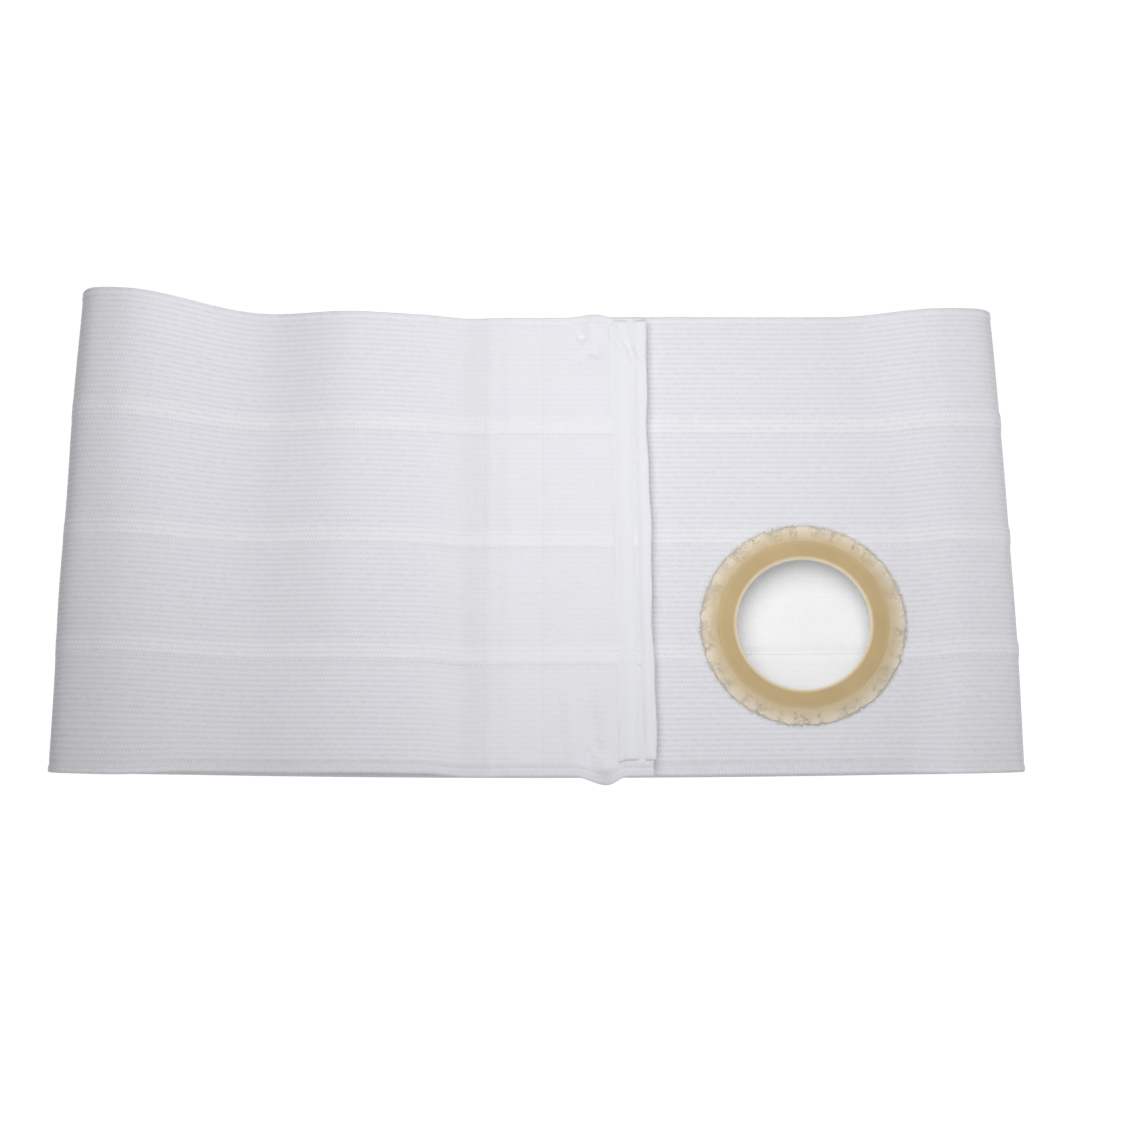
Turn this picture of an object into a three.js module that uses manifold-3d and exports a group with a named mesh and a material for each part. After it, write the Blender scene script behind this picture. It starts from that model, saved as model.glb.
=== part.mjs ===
import * as THREE from 'three';
import { mergeVertices } from 'three/addons/utils/BufferGeometryUtils.js';
import Module from 'manifold-3d';

// A wide elastic ostomy support belt, fastened into a loop and lying flattened on a surface.
// X runs along the belt, Y up its height and Z up from the surface. Lengths are millimetres.
// The loop is one layer of four elastic bands sewn edge over edge. It starts at the under end,
// runs right, folds over, returns along the back, folds over again on the left and ends in the flap.

// Elastic bands
const bandCount = 4;
const bandWidth = 57.5; // webbing as woven
const bandThickness = 1.5;
const seamOverlap = 6.5; // each band laps over the edge of the next one down
const seamRamp = 3; // width over which a band climbs onto a seam
const hemTurn = 3.6; // width turned under along the top and bottom edges
const hemRounding = 0.8;
const clearance = 0.3; // gap between pieces that are sewn together

// The lying loop
const loopLength = 408; // between the outer faces of the two folds, at mid height
const endFlare = 9; // how much further each fold reaches at the bottom edge than at the top
const endBow = 1.5; // how much less each fold reaches at both edges than halfway between them
const layerGap = 7.4; // open height between the back and front layers
const leftFoldHeight = 43; // the left fold stands up most at the top edge
const leftFoldInset = 16; // from the left end to the crest of its fold
const leftFoldLift = 3.2; // the top edge is pushed up the belt there
const rightFoldHeight = 23.5;
const rightFoldInset = 21;
const rightFoldRun = 46; // length over which the top edge climbs to the right crest
const bottomBow = 2.6; // how much higher the bottom edge lies at the ends than in its middle

// The closure
const flapGap = 20.9; // from the free end of the flap at mid height to the ring's border
const lapLength = 70.8; // from there to the free end of the layer under the flap
const flapEndSlant = 4; // the flap is this much longer at the bottom edge than at the top
const flapDrop = 1.9; // the flap is fastened this much lower than the layer under it
const flapTopFlare = 1.6; // the flap's edges bulge out beside the end tape
const flapBottomFlare = 4.6;
const flapFlareWidth = 28;
const gripTapeThickness = 1; // hook tape and loop tape alike
const gripTapeSetback = 8.5; // from the under end to the near edge of both tapes
const gripTapeInset = 7; // from the belt's top and bottom edges
const endTapeThickness = 1;
const endTapeWidth = 20;
const endTapeTopInset = 1.5;
const endTapeBottomInset = 6.5;
const endTapeBevel = 0.35;

// The ring round the pouch opening
const ringInset = 69; // from the crest of the right fold at mid height to the middle of the opening
const ringY = -38;
const openingRadius = 28.6;
const gasketOuterRadius = 37.3;
const gasketThickness = 2.2;
const gasketBevel = 0.7;
const borderOuterRadius = 44.3;
const borderThickness = 1.6;
const borderBevel = 0.5;
const roundSides = 48;

// The two folds along the belt's edges and seams: their heights, and the length of the climb to the
// right crest, as shares of the sizes named above
const foldRows = [
  { line: 'top edge', left: 1.0, right: 1.0, run: 1.0 },
  { line: 'first seam', left: 0.82, right: 0.89, run: 0.8 },
  { line: 'second seam', left: 0.68, right: 0.77, run: 0.56 },
  { line: 'third seam', left: 0.57, right: 0.78, run: 0.5 },
  { line: 'bottom edge', left: 0.52, right: 0.8, run: 0.65 },
];

// Waves of the flap left of the closure. Places are shares of the stretch from the left end to the
// under end. Lifts are shares of the gap between the layers, at the top edge where they are highest.
const flapWaves = [
  { wave: 'foot of the left fold', place: 0.47, lift: 0.5 },
  { wave: 'low hump', place: 0.65, lift: 1.15 },
  { wave: 'sag before the under end', place: 0.93, lift: 0.25 },
];

// Sizes that follow
const bandPitch = bandWidth - seamOverlap;
const beltHeight = bandCount * bandPitch + seamOverlap - 2 * hemTurn;
const seamStep = (bandThickness + clearance) / 2; // half of the offset between lapped bands
const backLevel = bandThickness / 2 + seamStep; // middle of the elastic, so that seams rest at Z = 0
const frontLevel = backLevel + bandThickness + layerGap;
const ringX = loopLength / 2 - rightFoldInset - ringInset;
const flapEndX = ringX - borderOuterRadius - flapGap;
const underEndX = flapEndX - lapLength;
const gripStack = 2 * gripTapeThickness + 3 * clearance;
const flapLevel = frontLevel + bandThickness + gripStack;

const mix = (a, b, share) => a + (b - a) * share;
const smooth = (share) => THREE.MathUtils.smoothstep(share, 0, 1);

// Height of a belt line over the belt's middle: 0 is the top edge, the last one the bottom edge
function lineY(index) {
  if (index === 0) return beltHeight / 2;
  if (index === bandCount) return -beltHeight / 2;
  return (bandCount / 2 - index) * bandPitch;
}

// A column of the fold table at any height on the belt
function foldShare(column, y) {
  let row = 0;
  while (row < foldRows.length - 2 && y < lineY(row + 1)) row += 1;
  const share = (lineY(row) - y) / (lineY(row) - lineY(row + 1));
  return mix(foldRows[row][column], foldRows[row + 1][column], share);
}

// Ends and crests of both folds at one height on the belt, on the middle of the elastic
function foldsAt(y) {
  const half = bandThickness / 2;
  const bow = endBow * ((2 * y) / beltHeight) ** 2;
  const reach = loopLength / 2 - (endFlare * y) / beltHeight - bow - half;
  const rightCrestX = reach - rightFoldInset;
  return {
    left: {
      share: foldShare('left', y),
      endX: -reach,
      crestX: -reach + leftFoldInset,
      crestZ: leftFoldHeight * foldShare('left', y) - half,
    },
    right: {
      endX: reach,
      crestX: rightCrestX,
      crestZ: rightFoldHeight * foldShare('right', y) - half,
      climbX: rightCrestX - rightFoldRun * foldShare('run', y),
    },
  };
}

// Point of a round fold. The angle is a quarter turn at the crest and minus that at the foot.
function foldPoint(fold, angle) {
  const middle = (fold.crestZ + backLevel) / 2;
  const rise = (fold.crestZ - backLevel) / 2;
  return { x: mix(fold.crestX, fold.endX, Math.cos(angle)), z: middle + rise * Math.sin(angle) };
}

// Height of the flap over its whole length, as level stretches joined by smooth waves
function flapHeight(x, folds) {
  const stretch = underEndX - folds.left.endX;
  const knots = [{ x: folds.left.crestX, z: folds.left.crestZ }];
  for (const { place, lift } of flapWaves) {
    const z = frontLevel + lift * layerGap * folds.left.share ** 2;
    knots.push({ x: folds.left.endX + place * stretch, z });
  }
  knots.push({ x: underEndX + gripTapeSetback / 2, z: flapLevel });
  const next = knots.findIndex((knot) => x < knot.x);
  if (next < 0) return flapLevel;
  if (next === 0) return knots[0].z;
  const [from, to] = [knots[next - 1], knots[next]];
  return mix(from.z, to.z, smooth((x - from.x) / (to.x - from.x)));
}

const flapEndAt = (y) => flapEndX - (flapEndSlant * y) / beltHeight;
const bandEndAt = (y) => flapEndAt(y) - endTapeThickness - clearance;

// The stretches of the loop in order. Each gives the middle of the elastic at a share of its length.
// flush says where seams are raised: 1 all on the outside, -1 all on the inside, 0 on both alike.
const stretches = [
  {
    name: 'level front from the under end',
    steps: 3,
    at: (share, y, { right }) => ({ x: mix(underEndX, right.climbX, share), z: frontLevel, flush: -1 }),
  },
  {
    name: 'climb to the right crest',
    steps: 5,
    at: (share, y, { right }) => ({
      x: mix(right.climbX, right.crestX, share),
      z: mix(frontLevel, right.crestZ, smooth(share)),
      flush: share - 1,
    }),
  },
  {
    name: 'right fold',
    steps: 10,
    at: (share, y, { right }) => ({ ...foldPoint(right, (0.5 - share) * Math.PI), flush: 0 }),
  },
  {
    name: 'back',
    steps: 3,
    at: (share, y, { left, right }) => ({
      x: mix(right.crestX, left.crestX, share),
      z: backLevel,
      flush: 0,
    }),
  },
  {
    name: 'left fold',
    steps: 12,
    at: (share, y, { left }) => ({ ...foldPoint(left, (share - 0.5) * Math.PI), flush: 0 }),
  },
  {
    name: 'flap up to the under end',
    onFlap: true,
    steps: 24,
    at: (share, y, folds) => {
      const x = mix(folds.left.crestX, underEndX, share);
      return { x, z: flapHeight(x, folds), flush: smooth((x - underEndX) / (2 * seamOverlap) + 1) };
    },
  },
  {
    name: 'flap over the under end',
    onFlap: true,
    steps: 10,
    at: (share, y, folds) => {
      const x = mix(underEndX, bandEndAt(y), share);
      return { x, z: flapHeight(x, folds), flush: 1 };
    },
  },
];

// How far a point of the loop is pushed along Y. height is 1 at the top edge and -1 at the bottom.
function edgeShift(point, y, folds, onFlap) {
  const height = y / (beltHeight / 2);
  const end = Math.abs(point.x) / (loopLength / 2);
  const bow = bottomBow * (end ** 2 - 0.5) * Math.max(-height, 0);
  const crest = (point.z - backLevel) / (folds.left.crestZ - backLevel);
  const leftSide = point.x < 0 ? smooth(2 * end - 1) : 0;
  const lift = leftFoldLift * Math.max(height, 0) * smooth(crest) * leftSide;
  if (!onFlap) return bow + lift;
  const drop = flapDrop * smooth((point.x - underEndX) / flapFlareWidth + 1);
  const flareX = bandEndAt(y) - endTapeWidth;
  const beside = smooth(1 - Math.abs(point.x - flareX) / (flapFlareWidth / 2));
  const edge = Math.max(0, 2 * Math.abs(height) - 1) ** 2;
  const flare = beside * edge * (height > 0 ? flapTopFlare : -flapBottomFlare);
  return bow + lift - drop + flare;
}

// The loop at one height on the belt: middle points with outward normals
function loopAt(y) {
  const folds = foldsAt(y);
  const points = [];
  for (const stretch of stretches) {
    for (let step = points.length === 0 ? 0 : 1; step <= stretch.steps; step += 1) {
      const point = stretch.at(step / stretch.steps, y, folds);
      points.push({ ...point, y: y + edgeShift(point, y, folds, stretch.onFlap) });
    }
  }
  return points.map((point, index) => {
    const before = points[Math.max(index - 1, 0)];
    const after = points[Math.min(index + 1, points.length - 1)];
    const length = Math.hypot(after.x - before.x, after.z - before.z);
    return { ...point, normalX: -(after.z - before.z) / length, normalZ: (after.x - before.x) / length };
  });
}

// Rows across a band from its upper to its lower edge. side is -1 where the band lies under its
// neighbour, 1 where it lies over it and 0 elsewhere. half is half of the band's thickness there.
function bandRows(index) {
  const upper = lineY(index) + (index > 0 ? seamOverlap / 2 : 0);
  const lower = lineY(index + 1) - (index < bandCount - 1 ? seamOverlap / 2 : 0);
  const half = bandThickness / 2;
  const seamRows = (edge, side) => [
    { y: edge, side, half },
    { y: edge + side * seamOverlap, side, half },
    { y: edge + side * (seamOverlap + seamRamp), side: 0, half },
  ];
  const hemRows = (edge, inwards) => [
    { y: edge, side: 0, half: half - hemRounding / 2 },
    { y: edge + inwards * hemRounding, side: 0, half },
    { y: edge + inwards * hemTurn, side: 0, half },
  ];
  const first = index > 0 ? seamRows(upper, -1) : hemRows(upper, -1);
  const last = index < bandCount - 1 ? seamRows(lower, 1) : hemRows(lower, 1);
  return [...first, { y: (upper + lower) / 2, side: 0, half }, ...last.reverse()];
}

// A closed solid from equal rings of points, capped at both ends
function solidFromRings(rings) {
  const count = rings[0].length;
  const positions = rings.flat(2);
  const faces = [];
  for (let ring = 0; ring < rings.length - 1; ring += 1) {
    for (let i = 0; i < count; i += 1) {
      const a = ring * count + i;
      const b = ring * count + ((i + 1) % count);
      faces.push(a, b, b + count, a, b + count, a + count);
    }
  }
  const last = (rings.length - 1) * count;
  for (const [a, b, c] of capFaces(rings[0])) faces.push(a, c, b);
  for (const [a, b, c] of capFaces(rings.at(-1))) faces.push(last + a, last + b, last + c);
  const geometry = new THREE.BufferGeometry();
  geometry.setAttribute('position', new THREE.Float32BufferAttribute(positions, 3));
  geometry.setIndex(faces);
  return facingOut(geometry);
}

// A ring holds as many points on one face as on the other, so its cap is a strip between them
function capFaces(ring) {
  const faces = [];
  for (let i = 0; i < ring.length / 2 - 1; i += 1) {
    const [a, b, c, d] = [i, i + 1, ring.length - 2 - i, ring.length - 1 - i];
    faces.push([a, b, c], [a, c, d]);
  }
  return faces;
}

// Turns the faces of a closed geometry so that it encloses a positive volume
function facingOut(geometry) {
  const corners = [0, 1, 2].map(() => new THREE.Vector3());
  const { position } = geometry.attributes;
  const index = geometry.index.array;
  let volume = 0;
  for (let i = 0; i < index.length; i += 3) {
    corners.forEach((corner, k) => corner.fromBufferAttribute(position, index[i + k]));
    volume += corners[0].dot(corners[1].clone().cross(corners[2]));
  }
  if (volume > 0) return geometry;
  for (let i = 0; i < index.length; i += 3) [index[i + 1], index[i + 2]] = [index[i + 2], index[i + 1]];
  return geometry;
}

// One elastic band round the whole loop
function elasticBand(index) {
  const columns = bandRows(index).map(({ y, side, half }) => {
    const outer = [];
    const inner = [];
    for (const point of loopAt(y)) {
      const lift = seamStep * (side + Math.abs(side) * point.flush);
      const place = (offset) => [
        point.x + point.normalX * offset,
        point.y,
        point.z + point.normalZ * offset,
      ];
      outer.push(place(lift + half));
      inner.push(place(lift - half));
    }
    return { outer, inner };
  });
  const rings = columns[0].outer.map((_, station) => [
    ...columns.map(({ outer }) => outer[station]),
    ...columns.map(({ inner }) => inner[station]).reverse(),
  ]);
  return solidFromRings(rings);
}

// Loads the solid library and returns a function that cuts one closed geometry by another
async function loadCut() {
  const wasm = await Module();
  wasm.setup();
  const toSolid = (geometry) => {
    const plain = geometry.clone();
    plain.deleteAttribute('normal');
    plain.deleteAttribute('uv');
    const merged = mergeVertices(plain, 1e-4);
    return new wasm.Manifold(new wasm.Mesh({
      numProp: 3,
      vertProperties: new Float32Array(merged.attributes.position.array),
      triVerts: new Uint32Array(merged.index.array),
    }));
  };
  const toGeometry = (solid) => {
    const mesh = solid.getMesh();
    const geometry = new THREE.BufferGeometry();
    geometry.setAttribute('position', new THREE.BufferAttribute(mesh.vertProperties, 3));
    geometry.setIndex(new THREE.BufferAttribute(mesh.triVerts, 1));
    return geometry;
  };
  return (geometry, cutter) => toGeometry(toSolid(geometry).subtract(toSolid(cutter)));
}

// Cylinder of the pouch opening, which passes through the front layer and ends above the back
function openingCutter() {
  const radius = openingRadius + clearance;
  const lowest = backLevel + seamStep + bandThickness;
  const height = flapLevel - lowest;
  const cutter = new THREE.CylinderGeometry(radius, radius, height, roundSides);
  cutter.rotateX(Math.PI / 2);
  cutter.translate(ringX, ringY, lowest + height / 2);
  return cutter;
}

// A flat ring lying on the front layer round the opening, with bevelled upper edges
function flatRing(inner, outer, thickness, bevel) {
  const profile = [
    [inner, 0],
    [outer, 0],
    [outer, thickness - bevel],
    [outer - bevel, thickness],
    [inner + bevel, thickness],
    [inner, thickness - bevel],
    [inner, 0],
  ].map(([radius, height]) => new THREE.Vector2(radius, height));
  const ring = new THREE.LatheGeometry(profile, roundSides);
  ring.deleteAttribute('normal');
  ring.deleteAttribute('uv');
  ring.rotateX(Math.PI / 2);
  ring.translate(ringX, ringY, frontLevel + bandThickness / 2 + clearance);
  return facingOut(mergeVertices(ring, 1e-4));
}

// A tape between the flap and the layer under it
function gripTape(bottomZ) {
  const height = beltHeight - 2 * gripTapeInset;
  const startX = underEndX + gripTapeSetback;
  const endX = flapEndX - flapEndSlant / 2 - endTapeWidth - clearance;
  const tape = new THREE.BoxGeometry(endX - startX, height, gripTapeThickness);
  tape.translate((startX + endX) / 2, 0, bottomZ + gripTapeThickness / 2);
  return tape;
}

// Binding folded round the end of the flap. It climbs over each seam of the flap.
function endTape() {
  const rows = [{ y: beltHeight / 2 - endTapeTopInset, lift: 0 }];
  for (let seam = 1; seam < bandCount; seam += 1) {
    const upper = lineY(seam) + seamOverlap / 2;
    const lower = lineY(seam) - seamOverlap / 2 - clearance;
    rows.push({ y: upper + seamRamp, lift: 0 }, { y: upper, lift: 2 * seamStep });
    rows.push({ y: lower, lift: 2 * seamStep }, { y: lower - seamRamp, lift: 0 });
  }
  rows.push({ y: -beltHeight / 2 + endTapeBottomInset, lift: 0 });
  const reach = bandThickness / 2 + clearance;
  return solidFromRings(rows.map(({ y, lift }) => {
    const end = flapEndAt(y);
    const start = end - endTapeWidth;
    const [top, bottom] = [flapLevel + reach + lift, flapLevel - reach];
    const outside = [
      [start, top + endTapeThickness],
      [end - endTapeBevel, top + endTapeThickness],
      [end, top + endTapeThickness - endTapeBevel],
      [end, bottom - endTapeThickness + endTapeBevel],
      [end - endTapeBevel, bottom - endTapeThickness],
      [start, bottom - endTapeThickness],
    ];
    const inside = [
      [start, bottom],
      [end - endTapeThickness - endTapeBevel / 4, bottom],
      [end - endTapeThickness, bottom + endTapeBevel / 4],
      [end - endTapeThickness, top - endTapeBevel / 4],
      [end - endTapeThickness - endTapeBevel / 4, top],
      [start, top],
    ];
    return [...outside, ...inside].map(([x, z]) => {
      const shift = edgeShift({ x, z: flapLevel }, y, foldsAt(y), true);
      return [x, y + shift, z];
    });
  }));
}

const finishes = {
  elastic: { color: 0xe4e3e8, roughness: 0.9, metalness: 0 },
  tape: { color: 0xebebed, roughness: 0.85, metalness: 0 },
  gasket: { color: 0xbfa57d, roughness: 0.6, metalness: 0 },
  felt: { color: 0xcbc2ac, roughness: 0.95, metalness: 0 },
};

const belt = new THREE.Group();

function addPiece(name, geometry, finish) {
  const piece = new THREE.Mesh(geometry, new THREE.MeshStandardMaterial(finishes[finish]));
  piece.name = name;
  belt.add(piece);
}

const cut = await loadCut();
for (let index = 0; index < bandCount; index += 1) {
  const upper = lineY(index) + seamOverlap / 2;
  const lower = lineY(index + 1) - seamOverlap / 2;
  const meetsOpening = ringY - openingRadius < upper && ringY + openingRadius > lower;
  const band = elasticBand(index);
  addPiece(`elastic_band_${index + 1}`, meetsOpening ? cut(band, openingCutter()) : band, 'elastic');
}
addPiece('loop_tape', gripTape(frontLevel + bandThickness / 2 + clearance), 'tape');
addPiece('hook_tape', gripTape(flapLevel - bandThickness / 2 - clearance - gripTapeThickness), 'tape');
addPiece('end_tape', endTape(), 'tape');
addPiece(
  'ring_gasket',
  flatRing(openingRadius, gasketOuterRadius, gasketThickness, gasketBevel),
  'gasket',
);
addPiece(
  'ring_border',
  flatRing(gasketOuterRadius + clearance, borderOuterRadius, borderThickness, borderBevel),
  'felt',
);

// The origin is under the middle of the belt, on the surface
const box = new THREE.Box3().setFromObject(belt);
const middle = box.getCenter(new THREE.Vector3());
belt.position.set(-middle.x, -middle.y, -box.min.z);

export default belt;
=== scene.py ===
import math

import bpy
import numpy as np
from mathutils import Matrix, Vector


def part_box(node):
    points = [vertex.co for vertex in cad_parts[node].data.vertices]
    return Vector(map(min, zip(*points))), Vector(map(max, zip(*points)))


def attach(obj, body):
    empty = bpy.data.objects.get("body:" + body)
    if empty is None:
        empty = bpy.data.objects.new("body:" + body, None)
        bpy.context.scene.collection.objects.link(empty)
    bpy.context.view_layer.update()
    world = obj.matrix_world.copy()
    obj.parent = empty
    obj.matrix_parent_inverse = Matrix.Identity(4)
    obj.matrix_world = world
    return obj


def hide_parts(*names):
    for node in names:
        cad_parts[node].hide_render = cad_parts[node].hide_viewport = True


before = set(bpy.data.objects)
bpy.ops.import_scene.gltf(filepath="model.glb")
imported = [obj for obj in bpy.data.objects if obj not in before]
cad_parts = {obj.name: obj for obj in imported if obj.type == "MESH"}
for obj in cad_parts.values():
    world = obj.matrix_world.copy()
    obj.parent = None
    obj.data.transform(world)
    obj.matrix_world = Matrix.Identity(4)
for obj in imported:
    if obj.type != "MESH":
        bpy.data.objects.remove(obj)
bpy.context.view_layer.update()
mm = 0.001
cm = 10  # mm in the unit of the cloth coordinates
print("frame loaded with", len(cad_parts), "nodes")

# The belt as it lies, in mm. Its own heights count from the middle line between its two long edges.
belt = {
    "bands": 4, "bandWidth": 57.5, "overlap": 6.5, "hemTurn": 3.6, "height": 203.3,
    "thickness": 1.3, "solidThickness": 1.5, "alongEnd": 900.0,
    "length": 408.0, "endFlare": 9.0, "endBow": 1.5, "bottomBow": 2.6,
    "backLevel": 1.65, "frontLevel": 10.55, "flapLevel": 14.95, "layerGap": 7.4,
    "leftHeight": 43.0, "leftInset": 16.0, "leftLift": 3.2, "leftSquare": 0.5,
    "rightHeight": 23.5, "rightInset": 21.0, "rightRun": 46.0, "rightSquare": 0.55,
    "underEnd": -22.0, "flapEnd": 48.8, "flapSlant": 4.0, "flapDrop": 1.9, "dropWidth": 28.0,
    "topFlare": 1.6, "bottomFlare": 3.7, "flareBefore": 14.0, "flareAfter": 8.75,
    "bandShort": 1.3, "endTapeWidth": 20.0, "tapeShown": 16.0, "flapRise": 4.25, "ringY": -38.0,
}
halfHeight = belt["height"] / 2
bandPitch = belt["bandWidth"] - belt["overlap"]
seamLines = [bandPitch, 0.0, -bandPitch]

# Folds along the two edges and three seams, as shares of the sizes above
foldTable = {
    "height": [halfHeight, *seamLines, -halfHeight],
    "left": [1.0, 0.82, 0.68, 0.57, 0.52],
    "right": [1.0, 0.89, 0.77, 0.78, 0.8],
    "run": [1.0, 0.8, 0.56, 0.5, 0.65],
}
flapWaves = [(0.47, 0.5), (0.65, 1.15), (0.93, 0.25)]  # place along the flap, lift over the front

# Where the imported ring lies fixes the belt's middle line in the frame
ringLow, ringHigh = (np.array(corner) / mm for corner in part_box("ring_gasket"))
ringX, ringY = ((ringLow + ringHigh) / 2)[:2]
middleY = ringY - belt["ringY"]


# An eased step from 0 to 1: three times t squared less twice its cube
def smooth(t):
    t = np.clip(t, 0, 1)
    return t * t * (3 - 2 * t)


# A bell: e to the power of minus t squared
def bell(t):
    return np.exp(-t * t)


# The sum of a table's bells, each with its height, its place and its half width
def bells(t, table):
    return sum(lift * bell((t - place) / width) for lift, place, width in zip(*table.values()))


# The sum of a table's sines, each with its height, its rate and its start
def sines(t, table):
    return sum(lift * np.sin(rate * t + start) for lift, rate, start in zip(*table.values()))


# A straight run from a to b
def mix(a, b, t):
    return a + (b - a) * t


# A wave raised to a power with its sign kept: below 1 it squares a circle's corners
def bent(wave, power):
    return np.sign(wave) * np.abs(wave) ** power


# One smooth curve through the five rows of the fold table
def foldShare(column, y):
    curve = np.polyfit(np.array(foldTable["height"]) / halfHeight, foldTable[column], 4)
    return np.polyval(curve, y / halfHeight)


# Ends and crests of both folds at heights y
def foldsAt(y):
    bow = belt["endBow"] * (y / halfHeight) ** 2
    half = belt["solidThickness"] / 2
    reach = belt["length"] / 2 - belt["endFlare"] * y / belt["height"] - bow - half
    leftShare = foldShare("left", y)
    rightX = reach - belt["rightInset"]
    return {
        "reach": reach,
        "leftShare": leftShare,
        "leftX": belt["leftInset"] - reach,
        "leftZ": belt["leftHeight"] * leftShare - half,
        "rightX": rightX,
        "rightZ": belt["rightHeight"] * foldShare("right", y) - half,
        "climbX": rightX - belt["rightRun"] * foldShare("run", y),
    }


# Flap height: level knots joined by smooth steps, so height = first knot + sum of rise times step
def flapHeight(x, folds):
    stretch = belt["underEnd"] + folds["reach"]
    knots = [(folds["leftX"], folds["leftZ"])]
    for place, lift in flapWaves:
        level = belt["frontLevel"] + lift * belt["layerGap"] * folds["leftShare"] ** 2
        knots.append((place * stretch - folds["reach"], level))
    knots.append((belt["underEnd"] + belt["flapRise"] + 0 * stretch, belt["flapLevel"]))
    z = knots[0][1]
    for (x0, z0), (x1, z1) in zip(knots, knots[1:]):
        z = z + (z1 - z0) * smooth((x - x0) / (x1 - x0))
    return z


# The flap's end at heights y: a straight slant
def flapEndAt(y):
    return belt["flapEnd"] - belt["flapSlant"] * y / belt["height"]


# How far the belt's lines bend along Y: bowed bottom edge, lifted left fold, lowered and flared flap
def edgeShift(x, y, z, folds, onFlap):
    height = y / halfHeight
    end = np.abs(x) / (belt["length"] / 2)
    bow = belt["bottomBow"] * (end**2 - 0.5) * np.maximum(-height, 0)
    crest = (z - belt["backLevel"]) / (folds["leftZ"] - belt["backLevel"])
    lift = belt["leftLift"] * np.maximum(height, 0) * smooth(crest) * smooth(2 * end - 1) * (x < 0)
    drop = belt["flapDrop"] * smooth((x - belt["underEnd"]) / belt["dropWidth"] + 1)
    flareX = flapEndAt(y) - belt["bandShort"] - belt["endTapeWidth"]
    flareReach = np.where(x > flareX, belt["flareAfter"], belt["flareBefore"])
    beside = smooth(1 - np.abs(x - flareX) / flareReach)
    edge = np.maximum(0, 2 * np.abs(height) - 1) ** 2
    flare = beside * edge * np.where(height > 0, belt["topFlare"], -belt["bottomFlare"])
    return bow + lift + onFlap * (flare - drop)


# A fold's turn from one layer to the other: half an ellipse with its corners squared
def foldTurn(turn, innerX, outerX, crestZ, square):
    middle, rise = (crestZ + belt["backLevel"]) / 2, (crestZ - belt["backLevel"]) / 2
    x = mix(innerX, outerX, bent(np.cos(turn), square))
    return x, middle + rise * bent(np.sin(turn), square)


# Distance run along each row of points, as the sum of the steps between them
def runAlong(x, z):
    steps = np.hypot(np.diff(x, axis=1, prepend=x[:, :1]), np.diff(z, axis=1, prepend=z[:, :1]))
    return np.cumsum(steps, axis=1)


# Outward normals in the XZ plane, square to the run of each row
def outward(x, z):
    dx, dz = np.gradient(x, axis=1), np.gradient(z, axis=1)
    size = np.hypot(dx, dz)
    return -dz / size, dx / size


# How many steps each stretch of the loop has
stations = {
    "front": 52, "climb": 18, "rightFold": 24, "back": 36, "leftFold": 34, "flap": 66, "closure": 56,
}


# The loop of one layer at heights y: level front, climb, half ellipse, back, half ellipse, flap.
# Arrays hold one row for each height and one column for each station along the loop.
def loopLine(y):
    folds = foldsAt(y)
    back, front = belt["backLevel"], belt["frontLevel"]
    share = {name: np.linspace(0, 1, count + 1)[None, 1:] for name, count in stations.items()}
    share["front"] = np.linspace(0, 1, stations["front"] + 1)[None, :]
    parts = []  # x, z, share of the flap, share of the way past the back

    x = mix(belt["underEnd"], folds["climbX"], share["front"])
    parts.append((x, front + 0 * x, 0, 0))
    x = mix(folds["climbX"], folds["rightX"], share["climb"])
    parts.append((x, mix(front, folds["rightZ"], smooth(share["climb"])), 0, 0))
    turn = (0.5 - share["rightFold"]) * math.pi
    x, z = foldTurn(turn, folds["rightX"], folds["reach"], folds["rightZ"], belt["rightSquare"])
    parts.append((x, z, 0, 0))
    x = mix(folds["rightX"], folds["leftX"], share["back"])
    parts.append((x, back + 0 * x, 0, share["back"]))
    turn = (share["leftFold"] - 0.5) * math.pi
    x, z = foldTurn(turn, folds["leftX"], -folds["reach"], folds["leftZ"], belt["leftSquare"])
    parts.append((x, z, 0, 1))
    x = mix(folds["leftX"], belt["underEnd"], share["flap"])
    parts.append((x, flapHeight(x, folds), 1, 1))
    x = mix(belt["underEnd"], flapEndAt(y) - belt["bandShort"], share["closure"])
    parts.append((x, flapHeight(x, folds), 1, 1))

    x, z = (np.concatenate([part[i] + 0 * y for part in parts], axis=1) for i in (0, 1))
    onFlap, past = (np.concatenate([part[i] + 0 * part[0] for part in parts], axis=1) for i in (2, 3))
    along = runAlong(x, z)
    along = along + (belt["alongEnd"] - along[:, -1:]) * past  # knit stands upright at both ends
    shifted = y + edgeShift(x, y, z, folds, onFlap)
    return {"x": x, "y": shifted, "z": z, "along": along, "onFlap": onFlap}


# Relief of the bands in mm, with shares of their thickness and height without a unit
relief = {
    "welt": 0.42, "weltRamp": 3.4, "weltEase": 2.4, "weltTip": 0.04, "weltPale": 1.4, "thinned": 0.35,
    "tuck": 0.66, "tuckEase": 4.6, "tuckTip": 0.3, "tuckStart": 0.35,
    "rib": 0.05, "ribPitch": 2.28, "rowPairs": 3, "ribInside": 0.7, "ribOver": 0.25, "ribHem": 0.4,
    "ribClosed": 0.5, "hemRoll": 0.25, "hemWidth": 2.4, "hemEase": 1.0, "hemGroove": 0.22, "hemLeast": 0.02,
    "grooveWidth": 0.5, "hemRound": 0.7, "hemPale": 0.25, "closedPale": 0.15,
}

# Where layers press on each other, in mm, and the share of a welt's height that this takes away
pressed = {
    "coverEnd": 25.0, "coverFade": 7.0, "ringReach": 45.5, "ringFade": 4.0, "closureFade": 13.0,
    "underLoss": 0.7, "closureLoss": 0.45, "flatFrom": 45.0, "flatFade": 40.0,
}


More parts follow.
